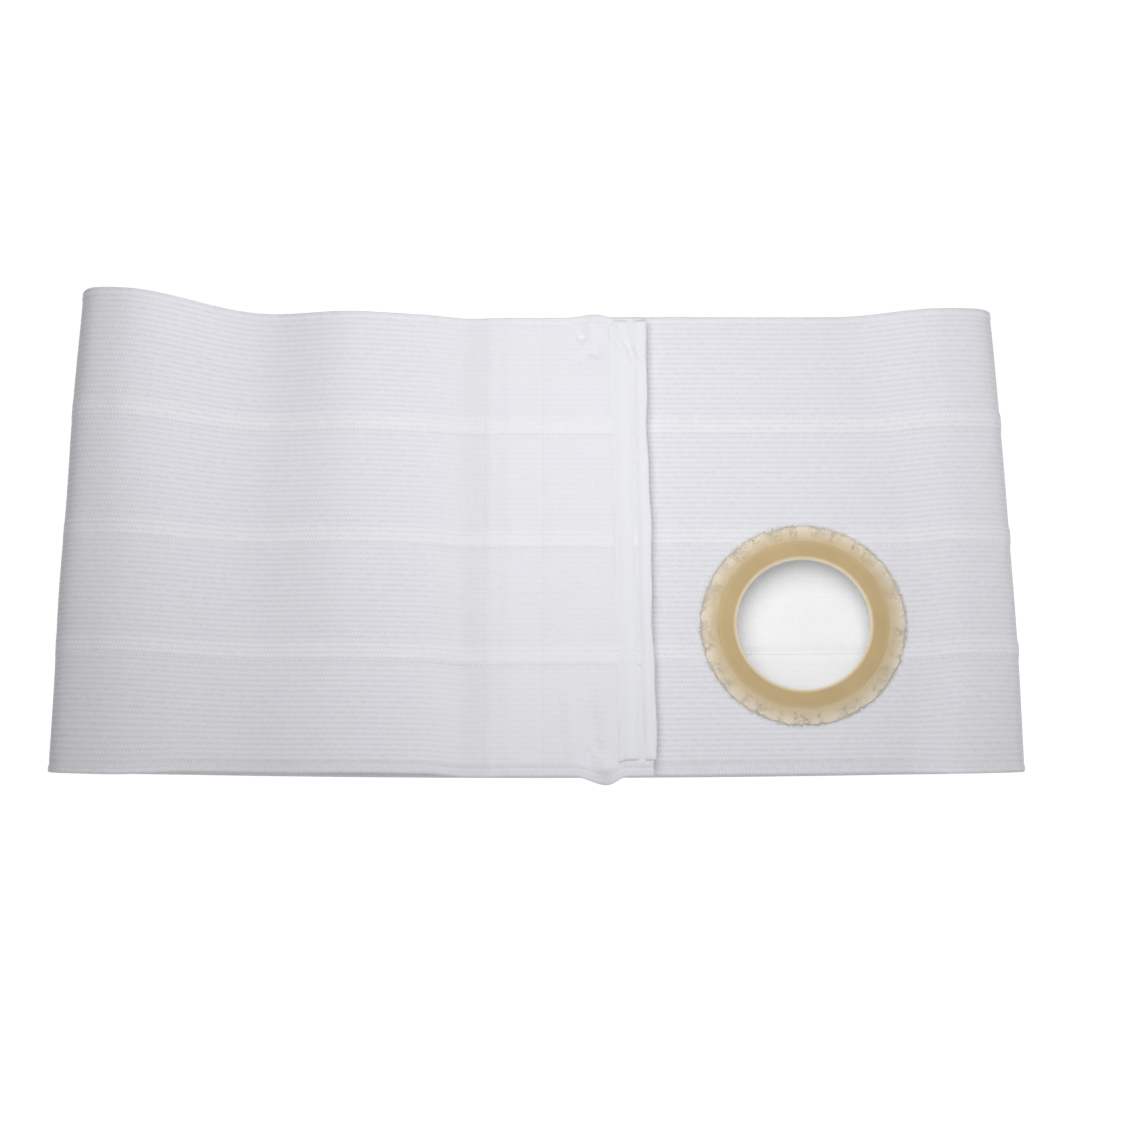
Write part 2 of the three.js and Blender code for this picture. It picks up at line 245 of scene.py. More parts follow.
# Share of the front layer that the flap covers, falling to 0 at the flap's tape
def underFlap(x):
    return 1 - smooth((x - pressed["coverEnd"]) / pressed["coverFade"])


# Distance from the middle of the pouch opening
def fromOpening(x, y):
    return np.hypot(x - ringX, y - belt["ringY"])


# How far a seam's welt stands up: less where the flap or the ring lies on it, and on the closure
def weltShare(x, y, z, onFlap):
    nearRing = 1 - smooth((fromOpening(x, y) - pressed["ringReach"]) / pressed["ringFade"])
    onFront = (z > belt["backLevel"] + belt["layerGap"]) * (1 - onFlap)
    covered = onFront * np.maximum(underFlap(x), nearRing)
    onClosure = onFlap * smooth((x - belt["underEnd"]) / pressed["closureFade"] + 1)
    return 1 - pressed["underLoss"] * covered - pressed["closureLoss"] * onClosure


# The ramp up to a welt: 0 on the plain cloth, 1 over the next band
def weltRamp(fromLower):
    return smooth((belt["overlap"] + relief["weltRamp"] - fromLower) / relief["weltRamp"])


# Outer height of a seam's welt over the cloth: up a ramp, level, then eased down to the lower edge
def weltHeight(fromLower):
    return relief["welt"] * weltRamp(fromLower) * smooth(fromLower / relief["weltEase"])


# Creases where the flap is fastened: lines up the flap, and spots that have a height on the belt too
creaseLines = {
    "lift": (-0.2, -0.35, 0.2, -0.2, 0.12),
    "x": (-22.6, -17.6, -11.8, 2.2, 6.5),
    "width": (1.1, 2.4, 2.6, 1.1, 3.0),
}
creaseSpots = {
    "lift": (1.0, -2.0, -2.2, -2.2, 1.1, 2.4, -0.9, -1.8, -1.3),
    "x": (13.5, 23.0, 19.0, 24.5, 24.0, 29.0, 35.5, 21.5, 26.0),
    "width": (2.6, 3.4, 2.2, 3.2, 4.0, 3.6, 1.3, 2.2, 2.0),
    "y": (-78.0, -82.0, 91.5, 84.5, 97.0, -102.0, -99.5, -96.0, -92.5),
    "height": (15.0, 13.0, 2.8, 2.8, 3.0, 4.0, 2.5, 4.0, 3.0),
}
creaseStart = {"x": -30.0, "fade": 5.0}


# The closure's creases: a bell across each line, and a bell both ways over each spot
def closureCreases(x, y, onFlap):
    lift = bells(x, creaseLines)
    for rise, spotX, width, spotY, height in zip(*creaseSpots.values()):
        lift = lift + rise * bell((x - spotX) / width) * bell((y - spotY) / height)
    return lift * (onFlap > 0) * smooth((x - creaseStart["x"]) / creaseStart["fade"])


waver = {
    "height": 0.22, "slow": (17, 23), "cross": (31, 43), "quick": (9.3, 19 / 1.3), "quickShare": 0.5,
    "ringReach": 45.0, "ringFade": 12.0, "level": 6.0, "levelFade": 4.0,
}


# Slow waver of the loose layers: sines slanting across each other, none on the back or at the ring
def waverHeight(x, y, z):
    slow = np.sin(x / waver["slow"][0] + y / waver["slow"][1])
    cross = np.sin(y / waver["cross"][0] - x / waver["cross"][1])
    quick = np.sin(x / waver["quick"][0] + y / waver["quick"][1])
    offRing = smooth((fromOpening(x, y) - waver["ringReach"]) / waver["ringFade"])
    loose = smooth((z - waver["level"]) / waver["levelFade"])
    return waver["height"] * (slow * cross + waver["quickShare"] * quick) * offRing * loose


hang = {
    "droop": 1.6, "droopWidth": 6.0, "droopOut": 0.9, "backRise": 0.8, "endsFrom": 150.0, "endsFade": 30.0,
    "leanOut": 0.268, "leanBase": 5.5, "leanWidth": 30.0, "standFrom": 60.0, "standFade": 60.0,
    "lower": 0.7, "lowerFrom": 60.0, "lowerFade": 30.0, "coverStart": -30.0, "coverRise": 8.0,
}


# How the edges hang, as shifts along Y and Z. Under the flap the front's top lies lower. The lower
# hem droops in front and rises at the back, and leans out where the cloth stands above the front.
def edgeHang(x, y, z, onFlap, fromLower, hasLowerHem):
    lying = smooth((z - belt["backLevel"]) / belt["layerGap"])
    covered = lying * underFlap(x) * smooth((x - hang["coverStart"]) / hang["coverRise"]) * (1 - onFlap)
    shiftY = -hang["lower"] * smooth((y - hang["lowerFrom"]) / hang["lowerFade"]) * covered
    if not hasLowerHem:
        return shiftY, 0 * z
    atEnds = smooth((np.abs(x) - hang["endsFrom"]) / hang["endsFade"])
    hanging = smooth(1 - fromLower / hang["droopWidth"]) * (1 - atEnds)
    standing = np.maximum(z - belt["frontLevel"], 0)
    standing = standing * smooth((np.abs(x) - hang["standFrom"]) / hang["standFade"])
    leaning = standing + hang["leanBase"] * atEnds * lying
    shiftY = shiftY - hanging * lying * hang["droopOut"] * (1 - onFlap)
    shiftY = shiftY - hang["leanOut"] * leaning * smooth(1 - fromLower / hang["leanWidth"])
    return shiftY, hanging * (hang["backRise"] * (1 - lying) - hang["droop"] * lying)


# A band's section. At a lower seam it climbs over the next band and tapers, at an upper one it tucks
# under and thins, and a hem is a roll less a groove, with its edge rounded as a quarter circle.
def bandSection(fromUpper, fromLower, hems):
    level = 0 * fromUpper
    over, raised, tucked, taper, hem, rounded, onHem = level, level, level, 1 + level, level, 1 + level, level
    if not hems["bottom"]:
        over, raised = weltRamp(fromLower), weltHeight(fromLower)
        taper = mix(relief["weltTip"], 1, smooth(fromLower / relief["weltEase"]))
    upperEase = smooth(fromUpper / relief["weltEase"])
    if not hems["top"]:
        tucked = smooth((belt["overlap"] - fromUpper) / relief["tuckEase"])
        taper = taper * mix(relief["tuckTip"], 1, upperEase)
    if hems["top"] or hems["bottom"]:
        fromHem = fromUpper if hems["top"] else fromLower
        hem = relief["hemRoll"] * (1 - smooth((fromHem - relief["hemWidth"]) / relief["hemEase"]))
        hem = hem - relief["hemGroove"] * bell((fromHem - belt["hemTurn"]) / relief["grooveWidth"])
        rounded = np.sqrt(1 - (1 - np.minimum(1, fromHem / relief["hemRound"])) ** 2)
        onHem = 1.0 * (fromHem < belt["hemTurn"])
    thick = belt["thickness"] * (1 - relief["thinned"] * np.maximum(over, tucked)) * taper * rounded
    sunk = relief["tuck"] * tucked * mix(relief["tuckStart"], 1, upperEase)
    doubled = over * smooth(fromLower / relief["weltPale"]) + relief["hemPale"] * onHem
    return {
        "over": over, "raised": raised, "sunk": sunk, "taper": taper, "hem": hem,
        "rounded": rounded, "thick": thick, "doubled": np.clip(doubled, 0, 1),
    }


tapeEdge = {"past": 0.5, "fade": 2.5}  # how the bands flatten under the end tape
# On the inner side a doubled share of 2 gives the paler inside colour as painted light, and the flattened
# share leaves little painted groove shade
insideShares = {"doubled": 2.0, "flattened": 1.25}  # what the material reads on the inner side


# A band's mesh: rows across it, ribs as a cosine, one closed tube of points at each station
def bandMesh(index):
    hems = {"top": index == 0, "bottom": index == belt["bands"] - 1}
    upper = halfHeight if hems["top"] else seamLines[index - 1] + belt["overlap"] / 2
    lower = -halfHeight if hems["bottom"] else seamLines[index] - belt["overlap"] / 2
    rows = 2 * round((upper - lower) / (relief["ribPitch"] / relief["rowPairs"])) + 1
    y = np.linspace(upper, lower, rows)[:, None]
    fromUpper, fromLower = upper - y, y - lower
    section = bandSection(fromUpper, fromLower, hems)
    line = loopLine(y)
    x, z, onFlap = line["x"], line["z"], line["onFlap"]
    normalX, normalZ = outward(x, z)

    onClosure = onFlap * smooth((x - belt["underEnd"] + pressed["flatFrom"]) / pressed["flatFade"])
    underTape = onFlap * smooth((belt["tapeShown"] + tapeEdge["past"] - flapEndAt(y) + x) / tapeEdge["fade"])
    lift = section["raised"] * weltShare(x, line["y"], z, onFlap) - section["sunk"]
    lift = lift + closureCreases(x, line["y"], onFlap) + waverHeight(x, y, z) * (1 - underTape)
    ribs = relief["rib"] * np.cos(2 * math.pi * fromUpper / relief["ribPitch"])
    ribs = ribs * mix(1, relief["ribOver"], section["over"]) * (1 - underTape)
    ribs = ribs * np.where(np.abs(section["hem"]) > relief["hemLeast"], relief["ribHem"], 1)
    ribs = ribs * mix(1, relief["ribClosed"], onClosure)

    body = belt["thickness"] / 2 * (1 + section["rounded"]) / 2
    outer = lift + body + (ribs + section["hem"]) * np.minimum(section["taper"], section["rounded"])
    inner = outer - section["thick"] - relief["ribInside"] * ribs * section["taper"]
    shiftY, shiftZ = edgeHang(x, y, z, onFlap, fromLower, hems["bottom"])
    hungY, hungZ = line["y"] + shiftY + middleY, z + shiftZ
    outerSpots, innerSpots = (
        np.stack([x + normalX * offset, hungY, hungZ + normalZ * offset], axis=-1)
        for offset in (outer, inner)
    )

    under = slice(rows - 3, 0, -2)  # every second row, from the lower edge back to the upper one

    def wrapped(outside, inside):
        return np.concatenate([outside, inside[under]]).swapaxes(0, 1)

    across = fromUpper + 0 * x
    uv = np.stack([wrapped(line["along"], line["along"]), wrapped(across, across)], axis=-1)
    piece = tubeMesh(f"band_{index + 1}", wrapped(outerSpots, innerSpots), uv)
    layers = np.maximum(section["doubled"], relief["closedPale"] * onClosure)
    giveShares(piece, "doubled", wrapped(layers, insideShares["doubled"] + 0 * layers))
    giveShares(piece, "flattened", wrapped(onClosure, insideShares["flattened"] + 0 * onClosure))
    return piece, {"spots": outerSpots, "across": fromUpper[:, 0], "x": x, "onFlap": onFlap > 0}


# Stores one number for each of a piece's points, which its material reads by name
def giveShares(piece, name, shares):
    attribute = piece.data.attributes.new(name, "FLOAT", "POINT")
    attribute.data.foreach_set("value", shares.astype(np.float32).ravel())


# Quads from each point to the next one on its ring and on the next ring, which closed joins at the end
def gridQuads(count, around, closed):
    here = np.arange(count * around).reshape(count, around)
    ahead = np.roll(here, -1, axis=0)
    quads = np.stack([here, ahead, np.roll(ahead, -1, axis=1), np.roll(here, -1, axis=1)], axis=-1)
    return quads[:count if closed else count - 1].reshape(-1, 4).tolist()


# A tube through rings of points, with one face over each end
def tubeMesh(name, spots, uv):
    count, around = spots.shape[:2]
    first = np.arange(around)
    ends = [first.tolist(), (first + (count - 1) * around)[::-1].tolist()]
    return newPiece(name, spots.reshape(-1, 3), gridQuads(count, around, False) + ends, uv.reshape(-1, 2))


# Puts points in mm and their cloth coordinates in mm into a mesh in metres
def newPiece(name, points, faces, uv=None):
    mesh = bpy.data.meshes.new(name)
    mesh.from_pydata((points * mm).tolist(), [], faces)
    mesh.polygons.foreach_set("use_smooth", np.ones(len(mesh.polygons), bool))
    if uv is not None:
        corner = np.zeros(len(mesh.loops), np.int32)
        mesh.loops.foreach_get("vertex_index", corner)
        layer = mesh.uv_layers.new(name="cloth")
        layer.data.foreach_set("uv", (uv[corner] / cm).astype(np.float32).ravel())
    piece = bpy.data.objects.new(name, mesh)
    bpy.context.scene.collection.objects.link(piece)
    return piece


opening = {"radius": 28.9, "sides": 128, "from": 6.0, "to": 20.0}


# Cuts the opening out of the front layer with a cylinder between two circles of points
def cutOpening(piece):
    angle = np.linspace(0, 2 * math.pi, opening["sides"], endpoint=False)
    circle = np.stack([ringX + opening["radius"] * np.cos(angle), ringY + opening["radius"] * np.sin(angle)])
    levels = [np.full(opening["sides"], opening[level]) for level in ("from", "to")]
    points = np.concatenate([np.stack([*circle, level], axis=-1) for level in levels])
    lower = np.arange(opening["sides"])
    upper = lower + opening["sides"]
    sides = np.stack([lower, np.roll(lower, -1), np.roll(upper, -1), upper], axis=-1).tolist()
    cutter = newPiece("opening_cutter", points, sides + [lower[::-1].tolist(), upper.tolist()])
    cut = piece.modifiers.new("opening", "BOOLEAN")
    cut.operation, cut.solver, cut.object = "DIFFERENCE", "EXACT", cutter
    bpy.context.view_layer.update()
    finished = bpy.data.meshes.new_from_object(piece.evaluated_get(bpy.context.evaluated_depsgraph_get()))
    piece.modifiers.clear()
    piece.data = finished
    bpy.data.objects.remove(cutter)


bands, grids = zip(*(bandMesh(index) for index in range(belt["bands"])))
for band in bands[2:]:
    cutOpening(band)
print("elastic bands made")

endTape = {
    "topInset": 1.5, "bottomInset": 6.5, "half": 0.3, "gap": 0.06, "stepY": 0.9,
    "across": 34, "turn": 14, "roll": 1.5, "square": 0.6, "hemEase": 1.5,
    "seamInside": 0.22, "seamReach": 1.6, "stitchFromEnd": 6.4, "stitchesAbove": 15.4,
    "fadeFrom": 11.5, "fadeWidth": 4.2, "fadeDrop": 0.5, "fadeThin": 0.7,
    "edgeDrop": 0.35, "edgeWidth": 1.8, "capWidth": 0.9, "capStart": 0.3,
    "sideSteps": 1.5, "sideStart": 0.25, "underside": 50.0,
    "crease": ((32.7, 96.1), (44.4, 77.7)), "creasePast": 0.15, "creaseEase": 0.2,
    "lump": 0.2, "lumpY": 6.3, "lumpX": 7.0, "lumpFromEnd": 4.0, "lumpWidth": 5.0,
}
tapeEndWaves = {"lift": (0.35, 0.2), "rate": (1 / 13, 1 / 4.7), "start": (1, 0)}
tapeStartWaves = {"lift": (0.3,), "rate": (1 / 17,), "start": (0,)}
tapePuffs = {
    "lift": (0.2, -0.85, 0.5),
    "fromEnd": (10.5, endTape["stitchFromEnd"], 3.0),
    "width": (2.5, 1.5, 1.6),
}
creasePuffs = {"lift": (0.3, -0.6, 0.35), "beside": (2.6, 0.0, -2.6), "width": (1.6, 1.3, 1.6)}


# Outermost and innermost offsets of the fastened flap at heights y, with its two hems
def seamOffsets(y):
    outside, inside = 0 * y, 0 * y
    for seam in seamLines:
        fromLower = np.maximum(y - seam + belt["overlap"] / 2, 0)
        fromSeam = np.abs(y - seam) / (belt["overlap"] / 2)
        outside = np.maximum(outside, (1 - pressed["closureLoss"]) * weltHeight(fromLower))
        inside = np.maximum(inside, endTape["seamInside"] * smooth(endTape["seamReach"] - fromSeam))
    fromHem = halfHeight - np.abs(y)
    onHem = 1 - smooth((fromHem - relief["hemWidth"]) / endTape["hemEase"])
    return outside + relief["hemRoll"] * onHem, inside


# The tape's relief: bells beside its folded end, a diagonal crease near the top, lumps and low edges
def tapeRelief(x, shifted, fromEnd, fromCut):
    (x0, y0), (x1, y1) = endTape["crease"]
    runX, runY = x1 - x0, y1 - y0
    length = math.hypot(runX, runY)
    beside = ((x - x0) * runY - (shifted - y0) * runX) / length
    inCrease = ((x - x0) * runX + (shifted - y0) * runY) / length**2
    past, ease = endTape["creasePast"], endTape["creaseEase"]
    ends = smooth((inCrease + past) / ease) * smooth((1 + past - inCrease) / ease)
    lumps = endTape["lump"] * np.sin(shifted / endTape["lumpY"] + x / endTape["lumpX"])
    lumps = lumps * bell((fromEnd - endTape["lumpFromEnd"]) / endTape["lumpWidth"])
    low = endTape["fadeDrop"] * smooth((fromEnd - endTape["fadeFrom"]) / endTape["fadeWidth"])
    low = low + endTape["edgeDrop"] * (1 - smooth(fromCut / endTape["edgeWidth"]))
    return bells(fromEnd, tapePuffs) + lumps + ends * bells(beside, creasePuffs) - low


# Folded tape: a line over the flap, a half ellipse round its end and a line back, given thickness
def endTapeMesh():
    top, bottom = halfHeight - endTape["topInset"], endTape["bottomInset"] - halfHeight
    y = np.linspace(top, bottom, round((top - bottom) / endTape["stepY"]))[:, None]
    fromCut = np.minimum(y - bottom, top - y)
    outside, inside = seamOffsets(y)
    reach = belt["thickness"] / 2 + endTape["gap"] + endTape["half"]
    upperZ, lowerZ = belt["flapLevel"] + outside + reach, belt["flapLevel"] - inside - reach
    bendX = flapEndAt(y) - endTape["half"] + sines(y, tapeEndWaves) - endTape["roll"]
    start = flapEndAt(y) - belt["tapeShown"] + sines(y, tapeStartWaves)
    share = np.linspace(0, 1, endTape["across"])[None, :]
    turn = np.linspace(0.5, -0.5, endTape["turn"])[None, 1:-1] * math.pi
    overX, backX = mix(start, bendX, share), mix(bendX, start, share)
    turnX = bendX + endTape["roll"] * bent(np.cos(turn), endTape["square"])
    turnZ = (upperZ + lowerZ) / 2 + (upperZ - lowerZ) / 2 * bent(np.sin(turn), endTape["square"])
    x = np.concatenate([overX, turnX, backX], axis=1)
    z = np.concatenate([upperZ + 0 * overX, turnZ, lowerZ + 0 * backX], axis=1)
    shifted = y + edgeShift(x, y, np.full_like(x, belt["flapLevel"]), foldsAt(y), 1.0)

    fromEnd = flapEndAt(y) - x
    face = np.concatenate([1 + 0 * overX, np.sin(np.maximum(turn, 0)) + 0 * y, 0 * backX], axis=1)
    z = z + tapeRelief(x, shifted, fromEnd, fromCut) * face
    normalX, normalZ = outward(x, z)
    column = np.arange(x.shape[1])[None, :]
    fromSide = np.minimum(column, column[:, ::-1]) / endTape["sideSteps"]
    edges = np.minimum(1, fromSide + endTape["sideStart"])
    caps = np.minimum(1, fromCut / endTape["capWidth"] + endTape["capStart"])
    thin = 1 - endTape["fadeThin"] * face * smooth((fromEnd - endTape["fadeFrom"]) / endTape["fadeWidth"])
    half = endTape["half"] * edges * caps * thin
    upperSpots, lowerSpots = (
        np.stack([x + side * normalX * half, shifted + middleY, z + side * normalZ * half], axis=-1)
        for side in (1, -1)
    )
    uv = np.stack([runAlong(x, z), shifted], axis=-1)
    rings = np.concatenate([upperSpots, lowerSpots[:, ::-1]], axis=1)
    piece = tubeMesh("flap_end_tape", rings, np.concatenate([uv, uv[:, ::-1]], axis=1))
    return piece, {"x": x, "y": shifted, "z": z + half, "fromEnd": fromEnd}


gripTapes = {
    "setback": 8.5, "inset": 7.0, "short": 0.3, "loop": (11.42, 12.3), "hook": (12.42, 13.25),
    "around": 24, "rows": 60, "squareX": 0.2, "squareZ": 0.6, "capWidth": 0.6, "capStart": 0.3,
}


# Grip tape: a rounded slab, whose section is a flattened superellipse carried along Y
def gripTapeMesh(name, levels):
    x0 = belt["underEnd"] + gripTapes["setback"]
    x1 = belt["flapEnd"] - belt["flapSlant"] / 2 - belt["endTapeWidth"] - gripTapes["short"]
    reachY = halfHeight - gripTapes["inset"]
    angle = np.linspace(0, 2 * math.pi, gripTapes["around"], endpoint=False)[None, :]
    y = np.linspace(reachY, -reachY, gripTapes["rows"])[:, None]
    ends = np.minimum(1, (reachY - np.abs(y)) / gripTapes["capWidth"] + gripTapes["capStart"])
    x = (x0 + x1) / 2 + (x1 - x0) / 2 * bent(np.cos(angle), gripTapes["squareX"]) + 0 * y
    half = (levels[1] - levels[0]) / 2
    z = sum(levels) / 2 + half * ends * bent(np.sin(angle), gripTapes["squareZ"])
    spots = np.stack([x, y + middleY + 0 * x, z + 0 * x], axis=-1)[:, ::-1]
    return tubeMesh(name, spots, np.stack([x, y + 0 * x], axis=-1)[:, ::-1])


ring = {
    "inner": 28.6, "gasket": 37.3, "outer": 44.3, "base": 11.38, "gasketTop": 13.8, "borderTop": 13.5,
    "clothRadius": 40.0,
}


# A ring from a closed section (radius, height) carried round the opening, as rows of points
def ringMesh(name, radius, height, angle):
    x, y = ringX + radius * np.cos(angle), ringY + radius * np.sin(angle)
    spots = np.stack([x, y, height + 0 * radius], axis=-1)
    uv = np.stack([angle * ring["clothRadius"] + 0 * radius, radius], axis=-1)
    return newPiece(name, spots.reshape(-1, 3), gridQuads(*radius.shape, True), uv.reshape(-1, 2))


gasketShape = {
    "around": 180, "section": 40, "squareX": 0.7, "squareZ": 0.75, "dip": 0.125, "dips": 3, "dipStart": 0.5,
    "edgeHighlightWidth": 2.0, "paleFrom": 34.5, "paleWidth": 2.6, "paleOutside": 0.15,
}
gasketWaves = {"lift": (0.12, 0.08, 0.05), "rate": (5, 11, 23), "start": (1, 0, 2)}


# Foam gasket: a rounded box section, radius and height as powers of cosine and sine, slightly uneven
def gasketMesh():
    angle = np.linspace(0, 2 * math.pi, gasketShape["around"], endpoint=False)[:, None]
    turn = np.linspace(0, 2 * math.pi, gasketShape["section"], endpoint=False)[None, :]
    middle, half = (ring["inner"] + ring["gasket"]) / 2, (ring["gasket"] - ring["inner"]) / 2
    radius = middle + half * bent(np.cos(turn), gasketShape["squareX"])
    radius = radius + sines(angle, gasketWaves) * np.maximum(0, np.cos(turn))
    middle, half = (ring["base"] + ring["gasketTop"]) / 2, (ring["gasketTop"] - ring["base"]) / 2
    height = middle + half * bent(np.sin(turn), gasketShape["squareZ"])
    dips = 0.5 + 0.5 * np.sin(gasketShape["dips"] * angle + gasketShape["dipStart"])
    height = height - gasketShape["dip"] * np.maximum(0, np.sin(turn)) * dips
    piece = ringMesh("foam_gasket", radius, height, angle)
    # Paler at the inner edge as a painted highlight on the rounded rim, and a little paler towards the outer
    # edge
    inside = 1 - smooth((radius - ring["inner"]) / gasketShape["edgeHighlightWidth"])
    outside = smooth((radius - gasketShape["paleFrom"]) / gasketShape["paleWidth"])
    giveShares(piece, "rim", np.maximum(inside, gasketShape["paleOutside"] * outside) + 0 * angle)
    return piece


borderShape = {
    "around": 420, "across": 22, "tuckedIn": 1.5, "drawnIn": 0.5, "wavy": 0.6, "rimHeight": 0.05,
    "underside": 0.1, "riseEnd": 1.05, "riseWidth": 0.9, "tucked": 0.6, "tuckWidth": 0.14,
}
borderLumps = {"lift": (0.02, 0.03, 0.02), "rate": (31, 17, 53), "slant": (6, -7, 11)}
borderWaves = {"lift": (0.35, 0.3, 0.2), "rate": (13, 29, 47), "start": (0, 1, 2)}


# The border's upper surface, steep at the gasket and easing down to the cloth at its rim
def borderHeight(share, angle):
    lumps = 0
    for lift, rate, slant in zip(*borderLumps.values()):
        lumps = lumps + lift * np.sin(rate * angle + slant * share)
    rise = smooth((borderShape["riseEnd"] - share) / borderShape["riseWidth"])
    rise = rise * mix(borderShape["tucked"], 1, smooth(share / borderShape["tuckWidth"]))
    height = mix(ring["base"] + borderShape["rimHeight"], ring["borderTop"], rise)
    return height + lumps * np.sin(math.pi * np.clip(share, 0, 1))


# Felt border: that surface carried round the ring over a flat underside, with a wavy rim
def borderMesh():
    angle = np.linspace(0, 2 * math.pi, borderShape["around"], endpoint=False)[:, None]
    share = np.linspace(0, 1, borderShape["across"])[None, :]
    inner = ring["gasket"] - borderShape["tuckedIn"] + 0 * angle
    outer = ring["outer"] - borderShape["drawnIn"] + borderShape["wavy"] * sines(angle, borderWaves)
    under = share[:, ::-2][:, 1:-1]
    radius = np.concatenate([mix(inner, outer, share), mix(inner, outer, under)], axis=1)
    underside = ring["base"] - borderShape["underside"] + 0 * angle + 0 * under
    height = np.concatenate([borderHeight(share, angle), underside], axis=1)
    piece = ringMesh("felt_border", radius[:, ::-1], height[:, ::-1], angle)
    giveShares(piece, "rim", np.concatenate([share, under], axis=1)[:, ::-1] + 0 * angle)
    return piece


pile = {
    "count": 5000, "length": (1.0, 2.2), "width": 0.07, "lift": (0.0, 0.1), "seed": 7, "reach": 43.9,
    "towardsRim": (1.5, 0.8), "swerve": 0.55, "behind": 0.3, "sunk": 0.04, "firstShare": 0.15,
    "bendAt": 0.55, "bendWidth": 0.8, "toneSpread": 0.06, "tones": (0.05, 0.1, 0.16),
}


# Pile: three-sided tapering hairs that lie outwards along the border's surface
def pileMesh():
    draw = np.random.default_rng(pile["seed"])
    count = pile["count"]
    angle = draw.uniform(0, 2 * math.pi, count)
    share = draw.beta(*pile["towardsRim"], count)
    swerve = draw.normal(0, pile["swerve"], count)
    long = draw.uniform(*pile["length"], count)
    lift = draw.uniform(*pile["lift"], count)
    start = ring["gasket"] - pile["behind"]
    spots = []
    for at in (0, pile["bendAt"], 1):
        radius = mix(start, pile["reach"], share) + at * long * np.cos(swerve)
        turned = angle + at * long * np.sin(swerve) / radius
        surface = mix(pile["firstShare"], 1, (radius - start) / (pile["reach"] - start))
        height = borderHeight(surface, turned) + at * lift - pile["sunk"]
        x, y = ringX + radius * np.cos(turned), ringY + radius * np.sin(turned)
        spots.append(np.stack([x, y, height], axis=-1))
    root, middle, tip = spots
    heading = tip - root
    heading /= np.linalg.norm(heading, axis=1)[:, None]
    first = np.cross(heading, [0, 0, 1.0])
    first /= np.linalg.norm(first, axis=1)[:, None]
    second = np.cross(heading, first)
    around = [math.pi / 2, 7 * math.pi / 6, 11 * math.pi / 6]
    corners = [pile["width"] * (math.cos(a) * first + math.sin(a) * second) for a in around]
    bends = [middle + pile["bendWidth"] * corner for corner in corners]
    points = np.stack([root + corner for corner in corners] + bends + [tip], axis=1)
    base = (7 * np.arange(count))[:, None]
    sides = ([0, 1, 4, 3], [1, 2, 5, 4], [2, 0, 3, 5])
    ends = ([3, 4, 6], [4, 5, 6], [5, 3, 6], [0, 2, 1])
    faces = np.concatenate([base + np.array([side]) for side in sides]).tolist()
    faces += np.concatenate([base + np.array([end]) for end in ends]).tolist()
    piece = newPiece("border_pile", points.reshape(-1, 3), faces)
    rootTone, bendTone, tipTone = pile["tones"]
    tones = np.tile([rootTone] * 3 + [bendTone] * 3 + [tipTone], count)
    giveShares(piece, "rim", np.repeat(share + draw.normal(0, pile["toneSpread"], count), 7) + tones)
    return piece


endTapePiece, endTapeGrid = endTapeMesh()
loopTape = gripTapeMesh("loop_grip_tape", gripTapes["loop"])
hookTape = gripTapeMesh("hook_grip_tape", gripTapes["hook"])
gasket, border, pileHairs = gasketMesh(), borderMesh(), pileMesh()
print("tapes and ring made")

thread = {
    "seamPitch": 2.3, "seamLength": 1.5, "seamRadius": 0.15, "seamSunk": 0.05, "sides": 5,
    "tapePitch": 2.6, "tapeLength": 1.7, "tapeRadius": 0.2, "tapeSunk": 0.05,
    "flapX": (-22.6, 2.2), "aheadBy": 0.3, "ringMargin": 1.0, "onTop": 0.4, "fromHem": 0.6,
}
stitchRings = [(-0.36, 0.85), (0.0, 1.0), (0.36, 0.85)]  # place along a stitch, share of its radius


# Stitches: one small capsule of three rings and two tips, turned and set along a line of points
def stitchPiece(name, middles, directions, lengths, radius):
    sides = thread["sides"]
    angle = np.linspace(0, 2 * math.pi, sides, endpoint=False)
    y, z = np.cos(angle), np.sin(angle)
    body = [np.stack([at + 0 * angle, size * y, size * z], axis=-1) for at, size in stitchRings]
    form = np.concatenate([[[-0.5, 0, 0]], *body, [[0.5, 0, 0]]])
    directions = directions / np.linalg.norm(directions, axis=1)[:, None]
    sideways = np.cross(directions, [0, 0, 1.0])
    sideways /= np.maximum(np.linalg.norm(sideways, axis=1), 1e-6)[:, None]
    upwards = np.cross(sideways, directions)
    spots = middles[:, None] + form[None, :, :1] * (directions * lengths[:, None])[:, None]
    spots = spots + radius * (form[None, :, 1:2] * sideways[:, None] + form[None, :, 2:] * upwards[:, None])
    here = np.arange(sides)
    after = np.roll(here, -1)
    lastRing = 1 + 2 * sides
    faces = np.stack([0 * here, 1 + after, 1 + here], axis=-1).tolist()
    for level in (1, 1 + sides):
        quads = [level + here, level + after, level + sides + after, level + sides + here]
        faces += np.stack(quads, axis=-1).tolist()
    faces += np.stack([0 * here + lastRing + sides, lastRing + here, lastRing + after], axis=-1).tolist()
    base = len(form) * np.arange(len(middles))
    allFaces = [[int(b) + c for c in face] for b in base for face in faces]
    return newPiece(name, spots.reshape(-1, 3), allFaces)


# Points at an even pitch along a line, with the line's direction there
def evenly(points, pitch):
    lengths = np.concatenate([[0], np.cumsum(np.linalg.norm(np.diff(points, axis=0), axis=1))])
    at = np.arange(pitch, lengths[-1] - pitch, pitch)
    middles = np.stack([np.interp(at, lengths, points[:, i]) for i in range(3)], axis=-1)
    ahead = np.stack([np.interp(at + thread["aheadBy"], lengths, points[:, i]) for i in range(3)], axis=-1)
    return middles, ahead - middles


# One row of a band's outer grid, measured from its upper edge, or from its lower one if negative
def rowLine(index, distance):
    grid = grids[index]
    at = distance if distance >= 0 else grid["across"][-1] + distance
    row = int(np.argmin(np.abs(grid["across"] - at)))
    return grid["spots"][row]


